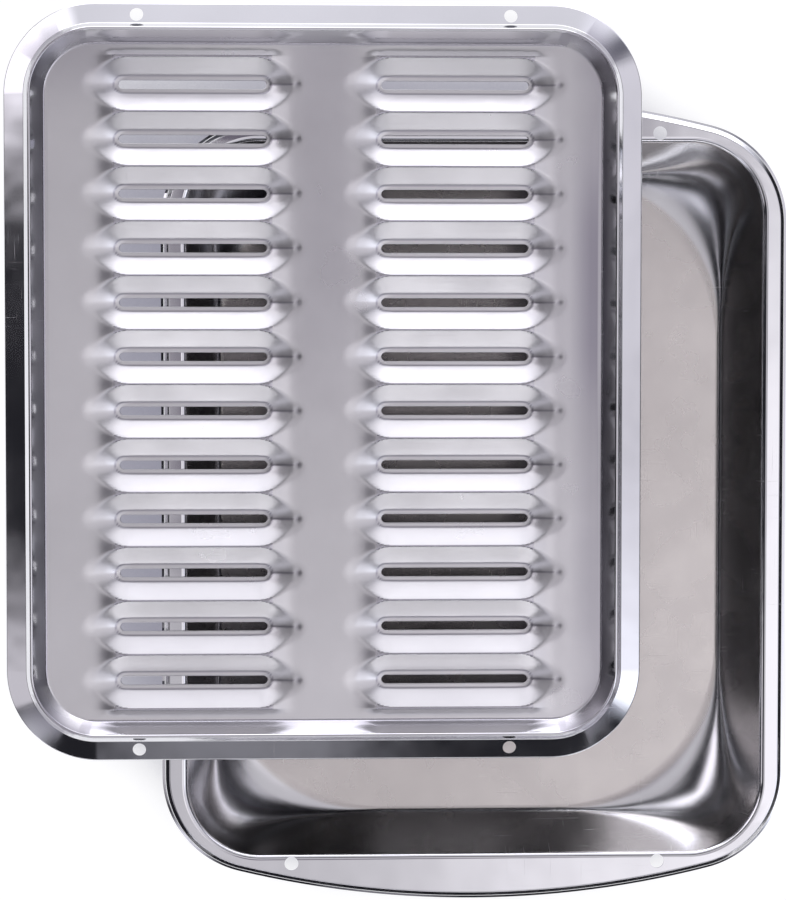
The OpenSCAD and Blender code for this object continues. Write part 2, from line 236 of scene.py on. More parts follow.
# %% Rings of the pan's walls
FOOT_LEVELS = 10
CORNER_LEVELS = 22
LIP_STEPS = 12
least_level_gap = 0.2
below_lip = lip_bend * 1.5


def bend_reach(height, radius):
    """How far out from the foot a bent wall stands at a height; negative inside the foot."""
    turn = math.pi / 2 - wall_lean
    tangent = radius * math.tan(turn / 2)
    if height >= radius * (1 - math.cos(turn)):
        return height * math.tan(wall_lean)
    return -tangent + math.sqrt(max(radius * radius - (radius - height) ** 2, 0))


def wall_levels(thick):
    """Heights that resolve both the tight bend of the sides and the wide bend of the corners."""
    turn = math.pi / 2 - wall_lean
    tight = (foot_bend + thick) * (1 - np.cos(np.linspace(0, turn, FOOT_LEVELS)))
    wide = (corner_bend + thick) * (1 - np.cos(np.linspace(0, turn, CORNER_LEVELS)[1:]))
    wide = wide[wide > tight[-1] + least_level_gap]
    top = [pan_depth - sheet - below_lip]
    return np.unique(np.round(np.concatenate([tight, wide, top]), 4))


def wall_quarters(level, side, thick):
    """Quarters from the flat floor up the wall. The sheet's lower side stands out by side."""
    quarters = []
    for height in wall_levels(thick):
        reach = bend_reach(height, foot_bend + thick)
        wide = bend_reach(height, corner_bend + thick)
        corner = opening_corner - wall_run + (math.sqrt(2) * reach - wide) / (math.sqrt(2) - 1)
        at_x, at_y = foot_x + side + reach, foot_y + side + reach
        quarters.append(quarter(at_x, at_y, corner + side, level + height))
    return quarters


def lip_quarters(path, bend):
    """Quarters over the lip, where the wall bends into the flange."""
    arc = arc_at(*path, bend, LIP_STEPS)
    return [quarter(opening_x + p[0], opening_y + p[0], opening_corner + p[0], p[1]) for p in arc]


print("levels up the wall:", len(wall_levels(0)), "inside and", len(wall_levels(sheet)), "outside")

# %% Rings of the pan's flanges and edge
def bowed_quarter(inset, level):
    """A quarter of the pan's outline, whose ends are bowed, drawn in by an inset."""
    bow_y = pan_length / 2 - bow_radius
    corner_x = pan_width / 2 - flange_corner
    corner_y = bow_y + math.sqrt((bow_radius - flange_corner) ** 2 - corner_x ** 2)
    bow_angle = math.atan2(corner_x, corner_y - bow_y)
    a = np.linspace(0, bow_angle, BOW_STEPS + 1)
    b = np.linspace(bow_angle, math.pi / 2, CORNER_STEPS + 1)[1:]
    bow, corner = bow_radius - inset, flange_corner - inset
    x = np.concatenate([bow * np.sin(a), corner_x + corner * np.sin(b)])
    y = np.concatenate([bow_y + bow * np.cos(a), corner_y + corner * np.cos(b)])
    return np.stack([x, y, np.full(len(x), level)], axis=1)


lip_path = [np.array([-lip_bend, pan_depth - lip_bend / math.tan(wall_lean)]),
            np.array([0, pan_depth]), np.array([lip_bend, pan_depth])]
hem_run = hem_width * math.cos(hem_slope)
hem_fall = hem_width * math.sin(hem_slope)
shoulder_x = hem_run + skirt_run + shoulder_run
edge_path = [np.array([shoulder_x + edge_bend, pan_depth]),
             np.array([shoulder_x, pan_depth]),
             np.array([hem_run + skirt_run, pan_depth - shoulder_run * math.tan(shoulder_slope)]),
             np.array([hem_run, pan_depth - edge_drop + hem_fall]),
             np.array([0, pan_depth - edge_drop])]
edge_radii = [0, edge_bend, shoulder_bend, hem_bend, 0]
over_edge = bent(edge_path, edge_radii)
under_edge = bent(beside(edge_path, sheet), radii_beside(edge_path, edge_radii, sheet))
over = wall_quarters(sheet, 0, 0) + lip_quarters(lip_path, lip_bend)
over += [bowed_quarter(p[0], p[1]) for p in over_edge]
under_lip = beside(lip_path, -sheet)
wall_side = sheet * (1 - math.sin(wall_lean)) / math.cos(wall_lean)
under = wall_quarters(0, wall_side, sheet) + lip_quarters(under_lip, lip_bend - sheet)
under += [bowed_quarter(p[0], p[1]) for p in under_edge]
pan_quarters = over + under[::-1]
print("the pan's section has", len(pan_quarters), "points")

# %% [markdown]
# ## The punched holes
# The four rim holes of each piece were punched before the plating. A Boolean cut with a joined set of
# cylinders makes them in one step, and afterwards every edge sharper than a bend is marked as sharp, so
# that the cut stays crisp while the pressing stays smooth. Weighted normals let the large flat faces
# decide the shading where a flat meets a bend, which keeps the flats flat in the reflections.

# %% Helpers for punching and smoothing
HOLE_STEPS = 64
sharp_angle = math.radians(35)
cutter_clear = 1


def prism(outline, bottom, top):
    """Points and faces of an upright prism over an outline."""
    n = len(outline)
    points = [(x, y, bottom) for x, y in outline] + [(x, y, top) for x, y in outline]
    faces = [tuple(range(n))[::-1], tuple(range(n, 2 * n))]
    faces += [(i, (i + 1) % n, n + (i + 1) % n, n + i) for i in range(n)]
    return points, faces


def circle(cx, cy, radius):
    a = np.linspace(0, 2 * math.pi, HOLE_STEPS, endpoint=False)
    return list(zip(cx + radius * np.cos(a), cy + radius * np.sin(a)))


def joined(solids):
    """Several point and face lists as one."""
    points, faces = [], []
    for some_points, some_faces in solids:
        start = len(points)
        points += list(some_points)
        faces += [tuple(start + i for i in face) for face in some_faces]
    return points, faces


def apply_modifier(obj, name):
    bpy.context.view_layer.objects.active = obj
    with bpy.context.temp_override(object=obj, active_object=obj, selected_objects=[obj]):
        bpy.ops.object.modifier_apply(modifier=name)


def punch(obj, solids):
    """Cuts all the solids out of an object at once."""
    cutter = make_object("punch", *joined(solids))
    cut = obj.modifiers.new("punch", "BOOLEAN")
    cut.operation = "DIFFERENCE"
    cut.solver = "MANIFOLD"
    cut.object = cutter
    apply_modifier(obj, "punch")
    bpy.data.objects.remove(cutter)


def smooth(obj):
    """Smooth shading with crisp cut edges, led by the large faces."""
    obj.data.shade_smooth()
    obj.data.set_sharp_from_angle(angle=sharp_angle)
    weigh = obj.modifiers.new("weigh", "WEIGHTED_NORMAL")
    weigh.keep_sharp = True
    weigh.mode = "FACE_AREA"
    apply_modifier(obj, "weigh")


def mount(name):
    return next(m for m in frame["record"]["mounts"] if m["name"] == name)


def hole_places(pattern, mid):
    """Centres and radius of a piece's four rim holes."""
    dims = mount(pattern)["dims"]
    dx, dy = dims["spacing_x_mm"] / 2, dims["spacing_y_mm"] / 2
    return [(mid[0] + sx * dx, mid[1] + sy * dy) for sx in (-1, 1) for sy in (-1, 1)], dims["hole_r_mm"]


print("rim holes of the pan:", hole_places("pan_rim_holes", (0, 0)))

# %% [markdown]
# ## Putting the pan together
# The rings of the sheet's upper and lower side become one stack, which is joined at the edge. The flat
# floor needs no points of its own, so the first and the last ring are each filled with one large face.

# %% Build the pan
pan_rings = [full_ring(q) for q in pan_quarters]
count = len(pan_rings[0])
pan_points = np.concatenate(pan_rings)
pan_faces = band_faces(len(pan_rings), count)
pan_faces.append(tuple(range(count))[::-1])
pan_faces.append(tuple(range(len(pan_points) - count, len(pan_points))))
pan = make_object("drip_pan", pan_points, pan_faces)
places, hole_r = hole_places("pan_rim_holes", (0, 0))
above_pan = pan_depth + cutter_clear
punch(pan, [prism(circle(x, y, hole_r), pan_depth - edge_drop, above_pan) for x, y in places])
smooth(pan)
print("pan:", len(pan.data.polygons), "faces")

# %% [markdown]
# ## The grill insert's rim
# From outside in, the insert has a low turned-down edge, a flange that slopes up, a bead that stands
# above it and a short wall down to the floor. It is the same kind of ring stack as the pan.

# %% Sizes and rings of the insert's rim
insert_corner = 47
insert_flange = 11
flange_rise = 4.7
insert_lip = 2.6
rim_foot = 0.4
bead_slope = 2.2
bead_top = 1.2
bead_height = 8.5
insert_wall = 6.2
bead_bend = 1.1
tray_bend = 1.6
tray_margin = 2
rim_run = insert_flange + bead_slope + bead_top + insert_wall
insert_z = insert_high[2] - bead_height

rim_path = [np.array(p, float) for p in [
    (0, -insert_lip), (rim_foot, 0), (insert_flange, flange_rise),
    (insert_flange + bead_slope, bead_height), (insert_flange + bead_slope + bead_top, bead_height),
    (rim_run, 0), (rim_run + tray_margin, 0)]]
rim_radii = [0, bead_bend, bead_bend, bead_bend, bead_bend, tray_bend, 0]


def rim_quarters(path):
    return [quarter(insert_width / 2 - p[0], insert_length / 2 - p[0], insert_corner - p[0], p[1])
            for p in path]


rim_over = bent(rim_path, rim_radii)
rim_under = bent(beside(rim_path, -sheet), radii_beside(rim_path, rim_radii, -sheet))
print("the rim's section has", len(rim_over), "points on each side")

# %% [markdown]
# ## The floor of the insert and its pockets
# The floor is pressed into two columns of V-shaped pockets, each with a drain slot at its bottom, so
# that fat runs off. Between two pockets the sheet stands as a low ridge, which runs out softly at both
# ends. A pocket's own ends are two slanting facets that meet in a crease, and toward the tip the press
# left them so soft that they fade into the flat, with a small dimple at the right tip.
# Such a relief has one height at each place, so it can be worked out as a function of the place. That
# keeps every fold under control, where a modelled pocket would have to be blended with its neighbours.

# %% Sizes of the pockets
slot_length = 76
slot_width = 4.8
slot_land = 2.1
slot_pitch = 27.8
pocket_depth = 4.5
row_margin = 4
column_inset = 3.25
crest_rise = 1.7
crest_half = 39
ridge_from = 1
ridge_reach = 17
shoulder_at = (52.8, 4.6)
tip_at = 54.0
tip_blunt = 0.026
tip_ease = 0.65
dimple_depth = 0.4
dimple_r = 1.5
dimple_inset = 0.6

crest_round = 0.4
end_round = 4.0
tip_round = 3.5
tip_round_over = 2.6
soft_from = 6
soft_over = 9
land_round = 0.45
crease_share = 0.75

tray_x = insert_width / 2 - rim_run - tray_margin
tray_y = insert_length / 2 - rim_run - tray_margin
land_r = slot_width / 2 + slot_land
slot_half = slot_length / 2
slot_end = slot_half - slot_width / 2
column_x = tray_x / 2 - column_inset
rows = math.floor((2 * tray_y - 2 * row_margin) / slot_pitch)
rows_end = rows / 2 * slot_pitch
slot_rows_y = [(rows / 2 - j - 0.5) * slot_pitch for j in range(rows)]
half_pitch = slot_pitch / 2
print(rows, "rows of pockets in two columns, at", round(column_x, 2), "mm from the middle")

# %% Heights of the pockets
def eased(t):
    """Goes from 0 to 1 with t, and starts and ends gently."""
    t = np.clip(t, 0, 1)
    return t * t * (3 - 2 * t)


def soft_min(a, b, k):
    """The smaller of two values, with the change from one to the other rounded over k."""
    h = np.clip(0.5 + 0.5 * (b - a) / k, 0, 1)
    return b + (a - b) * h - k * h * (1 - h)


def from_pocket(x, y):
    """Distances from the middle of the nearest pocket, along it and across it."""
    row = np.clip(np.round(rows / 2 - 0.5 - y / slot_pitch), 0, rows - 1)
    return np.abs(np.abs(x) - column_x), np.abs(y - (rows / 2 - 0.5 - row) * slot_pitch)


def from_rim(a, b):
    """Distance inward from a pocket's rim, by the distances along and across from its middle.

    The rim is a polygon: long crests, slanting ends and a short blunt tip.
    """
    run, drop = shoulder_at[0] - crest_half, half_pitch - shoulder_at[1]
    slant_a, slant_b = drop / math.hypot(run, drop), run / math.hypot(run, drop)
    crest = half_pitch - b
    slant = slant_a * (crest_half - a) + slant_b * (half_pitch - b)
    tip = tip_ease * (tip_at - a - tip_blunt * b * b)
    return soft_min(soft_min(crest, slant, end_round), tip, tip_round)


def from_slot(a, b):
    """Distance from the line of points on which a pocket's slot is centred."""
    return np.hypot(np.maximum(a - slot_end, 0), b)


def right_end(x):
    """True in the right half of each column of pockets."""
    return np.where(x < 0, x > -column_x, x > column_x)


def dimple(x, a, b):
    """Share of the small dimple at the right tip of a pocket."""
    return np.exp(-((a - tip_at + dimple_inset) ** 2 + b ** 2) / dimple_r ** 2) * right_end(x)


def relief(x, y):
    """Height of the floor's upper face above its flat border, in millimetres.

    A pocket falls from its rim to the flat land round its slot. Its ends are partly an even fall, which
    is soft, and partly two slanting facets that meet in a crease.
    """
    a, b = from_pocket(x, y)
    crest = crest_rise * (1 - eased((a - crest_half + ridge_from) / ridge_reach)) ** 2
    crest *= 1 - eased((np.abs(y) - rows_end) / row_margin)
    inward = from_rim(a, np.minimum(b, half_pitch + 1))
    over_rim = crest_round + tip_round_over * eased((a - crest_half - soft_from) / soft_over)
    inward = -soft_min(-inward, np.zeros_like(a), over_rim)
    outward = np.maximum(from_slot(a, b) - land_r, 0)
    even = inward / (inward + outward + 1e-6)
    creased = np.clip(inward / (half_pitch - land_r), 0, 1)
    down = crest - (pocket_depth + crest) * (crease_share * creased + (1 - crease_share) * even)
    down -= dimple_depth * dimple(x, a, b)
    return -soft_min(-down, np.full_like(down, pocket_depth), land_round)


crest_height = relief(np.array([column_x]), np.zeros(1))[0]
print("a crest stands", round(float(crest_height), 2), "mm above the flat border")

# %% [markdown]
# ## Painted shade on the floor
# Shade is painted into the sheet's colour along its folds, as thin lines on the crests and round the
# slots, and in the creases, dimples and hollows at the pockets' ends, and a darker band is painted over
# the right of the floor. They could be drawn in a map, but two more functions of the place keep them
# exactly on the folds. The material reads them later, as a share from 0 to 1 for each point.

# %% Shares of painted shade along the creases and on the right
crest_line = 0.5
land_line = 0.42
crease_line = 0.6
crease_end = 3.5
hollow_at = crest_half + 5
hollow_length = 4.5
hollow_width = 3.2
# Strength of the painted shade at the slots' lands, creases, dimples and hollows.
land_dark, crease_dark, dimple_dark, hollow_dark = 0.85, 0.8, 0.6, 0.4


def after(value, start, run):
    """Share that rises from 0 to 1 where a value goes on from a start over a run."""
    return eased((value - start) / run)


def painted_fold_shade(x, y):
    """Share of painted shade on the crests, at the edges of the slots' lands, in the creases, dimples and
    hollows.
    """
    a, b = from_pocket(x, y)
    crest = np.exp(-((half_pitch - b) / crest_line) ** 2) * (1 - after(a, crest_half - 3, 6))
    crest *= np.abs(y) < rows_end - 1
    land = np.exp(-((from_slot(a, b) - land_r) / land_line) ** 2)
    crease = np.exp(-(b / crease_line) ** 2) * after(a, slot_half, 2)
    crease *= (1 - after(a, tip_at - crease_end, 2)) * right_end(x)
    hollow = np.exp(-((half_pitch - b) / hollow_width) ** 2 - ((a - hollow_at) / hollow_length) ** 2)
    hollow *= (a > crest_half - 2) & ~right_end(x) & (np.abs(y) < rows_end)
    marks = [crest, land * land_dark, crease * crease_dark,
             dimple(x, a, b) * dimple_dark, hollow * hollow_dark]
    return np.maximum.reduce(marks)


def painted_shade_patches(x, y):
    """Share of painted shade: a band on the right, and faint patches in the middle and at the top left."""
    right = 0.25 * after(x, 98, 20) + 0.65 * after(x, 124, 14)
    right *= 1 - 0.45 * after(np.abs(y - 48), 25, 60)
    middle = 0.28 * (1 - after(np.abs(x), 6, 22)) * after(y, -60, 120)
    corner = 0.35 * after(y, 130, 40) * after(-x, 60, 60)
    return np.maximum.reduce([right, middle, corner])


# Share of painted shade at the right edge of the floor.
edge_painted_shade = painted_shade_patches(np.array([tray_x]), np.zeros(1))[0]
print("share of haze at the right edge of the floor:", round(float(edge_painted_shade), 2))

# %% [markdown]
# ## A grid that follows the folds
# The relief becomes a mesh over a grid of points. An even grid fine enough for the folds would have far
# too many faces, so the grid lines crowd together where the sheet folds, and are far apart where it is
# flat. The lower side is seldom seen and gets a coarser grid.

# %% Grids of the floor
border_lines = np.array([0.4, 1, 2.5])


def floor_grid(along, across):
    """Points of the floor's relief, on lines at given distances along and across from each pocket."""
    across = across * half_pitch / across[-1]
    outer_y = slot_rows_y[0] + half_pitch
    lines_x = np.concatenate([side * column_x + turn * along for side in (-1, 1) for turn in (-1, 1)]
                             + [[0]])
    lines_y = np.concatenate([y + turn * across for y in slot_rows_y for turn in (-1, 1)]
                             + [turn * (outer_y + border_lines) for turn in (-1, 1)])
    lines_x, lines_y = (np.unique(np.round(lines, 4)) for lines in (lines_x, lines_y))
    x, y = np.meshgrid(lines_x, lines_y)
    return np.stack([x, y, relief(x, y)], axis=2)


fine_along = np.concatenate([[0, 16, 30], np.arange(33, 60, 0.9)])
fine_across = np.array([0, 0.8, 1.6, 2.6, 3.6, 4.2, 4.6, 5.0, 5.6, 6.6, 7.8, 9.2, 10.6, 11.8, 12.6,
                        13.1, 13.5, 13.75, 13.9])
plain_along = np.concatenate([[0, 30], np.arange(34, 60, 2.6)])
plain_across = np.array([0, 3.6, 4.4, 5.2, 8.0, 11.0, 12.8, 13.9])
over_grid = floor_grid(fine_along, fine_across)
under_grid = floor_grid(plain_along, plain_across) - [0, 0, sheet]
print("upper grid", over_grid.shape[:2], "lower grid", under_grid.shape[:2])
print("heights from", over_grid[:, :, 2].min().round(2), "to", over_grid[:, :, 2].max().round(2), "mm")

# %% [markdown]
# ## Joining the floor to the rim
# The grid is a rectangle and the rim's last ring has round corners, so the flat strip between them is
# filled with triangles that use the points of both. A few points between them on the straight sides keep
# these triangles short, because long ones show as slanting streaks in the satin floor. The sheet's lower
# side is the same relief, one sheet thickness further down, and the two sides meet only at the edge.

# %% Helpers for joining
def grid_index(shape, start):
    """Numbers of a grid's points, which follow each other from a start."""
    return start + np.arange(shape[0] * shape[1]).reshape(shape)


def grid_faces(shape, start):
    index = grid_index(shape, start)
    a, b, c, d = index[:-1, :-1], index[:-1, 1:], index[1:, 1:], index[1:, :-1]
    return np.stack([a.ravel(), b.ravel(), c.ravel(), d.ravel()], axis=1)


def border_of(shape, start):
    """Numbers of the points round the outside of a grid, in one loop."""
    index = grid_index(shape, start)
    return np.concatenate([index[0, :], index[1:, -1], index[-1, -2::-1], index[-2:0:-1, 0]])


def inside_ring(p, outline):
    """Whether a point lies inside a convex outline that runs clockwise."""
    step = np.roll(outline, -1, axis=0) - outline
    away = p - outline
    return np.all(step[:, 0] * away[:, 1] - step[:, 1] * away[:, 0] < 1e-9)


def strip_faces(points, ring, border, between):
    """Triangles of the flat strip between a ring and the grid border inside it, with points between."""
    ids = np.concatenate([ring, border, between])
    flat = [tuple(map(float, points[i][:2])) for i in ids]
    n, m = len(ring), len(border)
    edges = [(i, (i + 1) % n) for i in range(n)] + [(n + i, n + (i + 1) % m) for i in range(m)]
    _, _, faces, origin, _, _ = delaunay_2d_cdt(flat, edges, [], 0, 1e-6)
    low, high = np.min(points[border][:, :2], axis=0), np.max(points[border][:, :2], axis=0)
    outline = points[ring][:, :2]
    kept = []
    for face in faces:
        corners = [ids[origin[i][0]] for i in face]
        mid = np.mean(points[corners][:, :2], axis=0)
        in_grid = np.all(mid > low) and np.all(mid < high)
        if not in_grid and inside_ring(mid, outline):
            kept.append(tuple(int(c) for c in corners))
    return kept


print("the border of the upper grid has", len(border_of(over_grid.shape[:2], 0)), "points")

# %% Build the insert
side_step = 10.5
side_y = np.arange(-12, 13) * side_step
side_lines = np.array([0.5, 4, 8])
side_x = np.concatenate([side * (tray_x - side_lines) for side in (-1, 1)])
side_points = np.array([(x, y, 0) for x in side_x for y in side_y])

rim_rings = [full_ring(q) for q in rim_quarters(rim_over[::-1]) + rim_quarters(rim_under)]
count = len(rim_rings[0])
points = np.concatenate(rim_rings + [over_grid.reshape(-1, 3), under_grid.reshape(-1, 3), side_points])
over_start = len(rim_rings) * count
under_start = over_start + over_grid[:, :, 0].size
first_ring = np.arange(count)
last_ring = (len(rim_rings) - 1) * count + np.arange(count)
side_ids = np.arange(len(points) - len(side_points), len(points))
upper_side = (over_grid, over_start, first_ring, 1, side_ids)
lower_side = (under_grid, under_start, last_ring, -1, side_ids[:0])
faces = band_faces(len(rim_rings), count)
for grid, start, ring, turn, between in (upper_side, lower_side):
    shape = grid.shape[:2]
    faces += [tuple(f[::turn]) for f in grid_faces(shape, start).tolist()]
    faces += [f[::turn] for f in strip_faces(points, ring, border_of(shape, start), between)]
points = points + [insert_mid[0], insert_mid[1], insert_z]
insert = make_object("slotted_insert", points, faces)

work = bmesh.new()
work.from_mesh(insert.data)
bmesh.ops.recalc_face_normals(work, faces=work.faces)
loose = [e for e in work.edges if len(e.link_faces) != 2]
print("insert before punching:", len(work.faces), "faces,", len(loose), "open edges")
work.to_mesh(insert.data)
work.free()

# %% [markdown]
# ## The drain slots
# Each slot was pierced at the bottom of its pocket and its edge rolls down into the opening, so that
# it isn't sharp. A stack of slot outlines, wide at the top and narrow below, is a cutter with that
# round already in it, and one cut makes the opening and its rolled edge together.

# %% Punch the slots and holes
SLOT_END_STEPS = 12
slot_roll = 0.65
roll_angles = np.radians((22, 45, 68, 90))
slot_inset = 0.3
slot_headroom = 2


def stadium(cx, cy, half_straight, radius):
    """Outline of a slot with round ends."""
    a = np.linspace(-math.pi / 2, math.pi / 2, SLOT_END_STEPS + 1)
    right = [(cx + half_straight + radius * math.cos(t), cy + radius * math.sin(t)) for t in a]
    left = [(cx - half_straight - radius * math.cos(t), cy - radius * math.sin(t)) for t in a]
    return right + left


def rolled_cutter(rings):
    """Points and faces of a stack of outlines, closed at both ends."""
    count = len(rings[0][0])
    points = [(x, y, level) for outline, level in rings for x, y in outline]
    faces = [tuple(range(count))[::-1], tuple(range(len(points) - count, len(points)))]
    return points, faces + band_faces(len(rings), count)


def slot_cutter(mid_x, mid_y):
    """Cutter of one drain slot, from below the sheet up through its rolled edge."""
    widths = [(0, -sheet - cutter_clear), (0, -slot_roll)]
    widths += [(slot_roll * (1 - math.cos(t)), -slot_roll * (1 - math.sin(t))) for t in roll_angles]
    widths.append((slot_roll, slot_headroom))
    half_opening = slot_width / 2 - slot_inset
    land_z = insert_z - pocket_depth
    return rolled_cutter([(stadium(mid_x, mid_y, slot_end, half_opening + wide), land_z + level)
                          for wide, level in widths])


slot_cuts = [slot_cutter(insert_mid[0] + side * column_x, insert_mid[1] + y)
             for side in (-1, 1) for y in slot_rows_y]
places, hole_r = hole_places("insert_rim_holes", insert_mid)
above_insert = insert_z + bead_height
hole_cuts = [prism(circle(x, y, hole_r), insert_z - cutter_clear, above_insert) for x, y in places]
punch(insert, slot_cuts + hole_cuts)
smooth(insert)
print("insert:", len(slot_cuts), "slots,", len(hole_cuts), "holes,", len(insert.data.polygons), "faces")

# %% [markdown]
# ## Handing the pieces to the frame
# Each new mesh stands in for one part of the construction, which is then no longer shown. Nothing on
# this object moves, so both ride on the same body.

# %% Hand the pieces to the frame
for piece, node, slot in ((pan, "pan", "pan_plating"), (insert, "grill_insert", "insert_plating")):
    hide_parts(node)
    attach(piece, "root")
    print(piece.name, "stands in for", node, "in the slot", slot)

# %% [markdown]
# ## Bright plating
# The rims and walls are bright plated steel: almost a mirror, with a faint ripple from the press and
# fine hairlines from use, which come in patches and in two directions. The floors have gone satin and
# a little warmer. On the insert, shade is painted into the colour along the folds, over a band on the
# right of the floor and on the inner walls. The under sides are dull, and darkened further as painted
# shade. The colour of a metal is what it reflects, so the material is fully metallic with a pale base,
# and the fine detail is in its roughness and in a very low bump. What changes from place to place is
# stored with the points as shares from 0 to 1, so that one material does for a piece.

# %% Helpers for materials
FIRST_NUMBER, SECOND_NUMBER, NUMBER_OUT = 2, 3, 0
FIRST_COLOUR, SECOND_COLOUR, COLOUR_OUT = 6, 7, 2


def set_or_link(tree, value, socket):
    """Gives a socket a plain value, or links another node's output to it."""
    if isinstance(value, bpy.types.NodeSocket):
        tree.links.new(value, socket)
    else:
        socket.default_value = value


def noise(tree, place, scale, detail, stretch=None):
    node = tree.nodes.new("ShaderNodeTexNoise")
    node.inputs["Scale"].default_value = scale
    node.inputs["Detail"].default_value = detail
    if stretch:
        mapping = tree.nodes.new("ShaderNodeMapping")
        mapping.inputs["Scale"].default_value = stretch
        tree.links.new(place, mapping.inputs["Vector"])
        place = mapping.outputs["Vector"]
    tree.links.new(place, node.inputs["Vector"])
    return node.outputs["Fac"]


def ranged(tree, value, low, high, to_low=0.0, to_high=1.0):
    """A value that goes gently from one number to another while its input goes from low to high."""
    node = tree.nodes.new("ShaderNodeMapRange")
    node.interpolation_type = "SMOOTHSTEP"
    for socket, number in (("From Min", low), ("From Max", high), ("To Min", to_low), ("To Max", to_high)):
        node.inputs[socket].default_value = number
    tree.links.new(value, node.inputs["Value"])
    return node.outputs["Result"]


def math_node(tree, operation, *values):
    node = tree.nodes.new("ShaderNodeMath")
    node.operation = operation
    for socket, value in zip(node.inputs, values):
        set_or_link(tree, value, socket)
    return node.outputs["Value"]


def vector_node(tree, operation, a, b):
    node = tree.nodes.new("ShaderNodeVectorMath")
    node.operation = operation
    set_or_link(tree, a, node.inputs[0])
    set_or_link(tree, b, node.inputs["Scale" if operation == "SCALE" else 1])
    return node.outputs[0]


def share_of(tree, name):
    """The share that a piece's points carry under a name."""
    node = tree.nodes.new("ShaderNodeAttribute")
    node.attribute_name = name
    return node.outputs["Fac"]


def between_colours(tree, share, first, second):
    """The first colour where a share is 0, the second where it is 1."""
    node = tree.nodes.new("ShaderNodeMix")
    node.data_type = "RGBA"
    set_or_link(tree, first, node.inputs[FIRST_COLOUR])
    set_or_link(tree, second, node.inputs[SECOND_COLOUR])
    tree.links.new(share, node.inputs["Factor"])
    return node.outputs[COLOUR_OUT]


def between_numbers(tree, share, first, second):
    """The first number where a share is 0, the second where it is 1."""
    node = tree.nodes.new("ShaderNodeMix")
    tree.links.new(share, node.inputs["Factor"])
    tree.links.new(first, node.inputs[FIRST_NUMBER])
    tree.links.new(second, node.inputs[SECOND_NUMBER])
    return node.outputs[NUMBER_OUT]


def bump(tree, height, distance, normal=None):
    node = tree.nodes.new("ShaderNodeBump")
    node.inputs["Distance"].default_value = distance
    node.inputs["Strength"].default_value = 1.0
    tree.links.new(height, node.inputs["Height"])
    if normal:
        tree.links.new(normal, node.inputs["Normal"])
    return node.outputs["Normal"]


# %% Ripple, grain and hairlines
ripple_depth = 0.00012
grain_depth = 0.00003
hairline_roughness = 0.12
along_x = (26, 1900, 40)
along_y = (2300, 34, 40)


def sheet_surface(tree, place, satin):
    """Normals of the sheet: a faint ripple from the press, and a fine grain where it is satin."""
    ripple = noise(tree, place, scale=45, detail=1.0)
    grain = noise(tree, place, scale=2600, detail=2.0)
    grain = math_node(tree, "MULTIPLY", grain, satin)
    return bump(tree, grain, grain_depth, bump(tree, ripple, ripple_depth))


def hairlines(tree, place):
    """Share of fine hairlines from use, in two directions and only in some patches."""
    patch = ranged(tree, noise(tree, place, scale=14, detail=2.0), 0.5, 0.6)
    hair_x = ranged(tree, noise(tree, place, 1.0, 1.0, along_x), 0.70, 0.76)
    hair_y = ranged(tree, noise(tree, place, 1.0, 1.0, along_y), 0.71, 0.77)
    return math_node(tree, "MULTIPLY", math_node(tree, "MAXIMUM", hair_x, hair_y), patch)


def sheet_roughness(tree, place, satin, rough_satin):
    """A cloudy roughness, low on bright plating and higher where it is satin, with hairlines."""
    cloud = noise(tree, place, scale=30, detail=4.0)
    rough_bright = ranged(tree, cloud, 0.3, 0.8, 0.05, 0.11)
    rough_floor = ranged(tree, cloud, 0.25, 0.8, rough_satin - 0.03, rough_satin + 0.05)
    rough = between_numbers(tree, satin, rough_bright, rough_floor)
    scratched = math_node(tree, "MULTIPLY", hairlines(tree, place), hairline_roughness)
    return math_node(tree, "ADD", rough, scratched)


# %% Plated steel
bright_plating = (0.86, 0.86, 0.88, 1)
pan_satin = (0.76, 0.72, 0.69, 1)
insert_satin = (0.84, 0.83, 0.84, 1)
# Painted shade: the colour toward which the creases, the patches on the insert's floor and its inner walls
# are darkened.
painted_shade_colour = (0.36, 0.34, 0.40, 1)
# The under side is dull, and darkened further as painted shade.
dull_shaded_under = (0.12, 0.12, 0.135, 1)


def plating_colour(tree, place, satin, satin_colour):
    """Colour of the plating: bright or satin, with painted shade along the creases, dull and with painted
    shade below, and a little mottled.
    """
    on_floor = ranged(tree, satin, 0.6, 1.0)
    tone = between_colours(tree, on_floor, bright_plating, satin_colour)
    # Painted shade along the creases, on the patches and the inner walls, and on the under side.
    tone = between_colours(tree, share_of(tree, "fold"), tone, painted_shade_colour)
    tone = between_colours(tree, share_of(tree, "under"), tone, dull_shaded_under)
    mottle = ranged(tree, noise(tree, place, scale=9, detail=5.0), 0.3, 0.7, 0.93, 1.04)
    return vector_node(tree, "SCALE", tone, mottle)


def plated_steel(name, satin_colour, rough_satin):
    """Bright plating that turns satin by the share of that name, and dull on the under side."""
    material = bpy.data.materials.new(name)
    material.use_nodes = True
    tree = material.node_tree
    shader = tree.nodes["Principled BSDF"]
    place = tree.nodes.new("ShaderNodeTexCoord").outputs["Object"]
    satin = share_of(tree, "satin")
    shader.inputs["Metallic"].default_value = 1.0
    tree.links.new(sheet_surface(tree, place, satin), shader.inputs["Normal"])
    tree.links.new(sheet_roughness(tree, place, satin, rough_satin), shader.inputs["Roughness"])
    tree.links.new(plating_colour(tree, place, satin, satin_colour), shader.inputs["Base Color"])
    return material


pan_look = plated_steel("pan_plating_look", pan_satin, rough_satin=0.26)
insert_look = plated_steel("insert_plating_look", insert_satin, rough_satin=0.30)
for piece, look in ((pan, pan_look), (insert, insert_look)):
    piece.data.materials.clear()
    piece.data.materials.append(look)
    print(look.name, "has", len(look.node_tree.nodes), "nodes")

